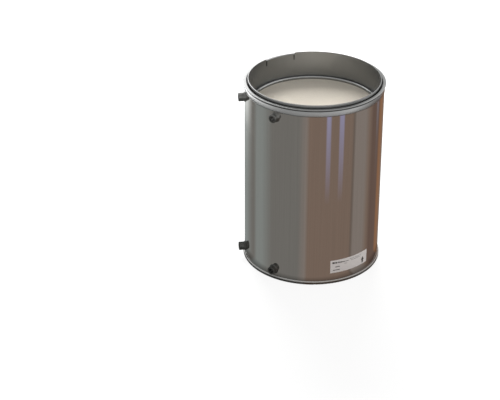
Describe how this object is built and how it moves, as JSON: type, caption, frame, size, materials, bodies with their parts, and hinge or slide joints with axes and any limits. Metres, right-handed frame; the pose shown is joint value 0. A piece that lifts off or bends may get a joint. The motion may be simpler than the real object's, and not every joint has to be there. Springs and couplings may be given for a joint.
{
  "type": "diesel particulate filter",
  "caption": "Round exhaust filter canister with a ceramic brick, clamp flanges at both ends, a notched inlet sleeve and threaded sensor bungs, for trapping diesel soot.",
  "frame": {"origin": "centre of the outlet face, on the canister's axis", "axes": "+Z along the axis from outlet to inlet, -Y towards the viewer of the picture, +X to the viewer's right"},
  "size_m": [0.3556, 0.343, 0.477],
  "materials": {
    "polished_shell": "mirror-polished stainless steel",
    "formed_steel": "bright satin stainless steel",
    "bung_steel": "dark turned steel",
    "filter_ceramic": "fine-celled cream ceramic",
    "mat_fibre": "felted mat",
    "blanket_fibre": "felted fibre",
    "knitted_wire": "knitted wire",
    "label_paper": "smooth white paper"
  },
  "bodies": {
    "root": {"outer_shell": "polished_shell", "inlet_flange": "formed_steel", "outlet_flange": "formed_steel", "inlet_sleeve": "formed_steel", "outlet_sleeve": "formed_steel", "inlet_retainer": "formed_steel", "outlet_retainer": "formed_steel", "inlet_seal": "knitted_wire", "outlet_seal": "knitted_wire", "filter_monolith": "filter_ceramic", "support_mat": "mat_fibre", "inner_can": "formed_steel", "insulation_blanket": "blanket_fibre", "inlet_temperature_bung": "bung_steel", "inlet_pressure_bung": "bung_steel", "outlet_temperature_bung": "bung_steel", "outlet_pressure_bung": "bung_steel", "label": "label_paper"}
  },
  "joints": []
}
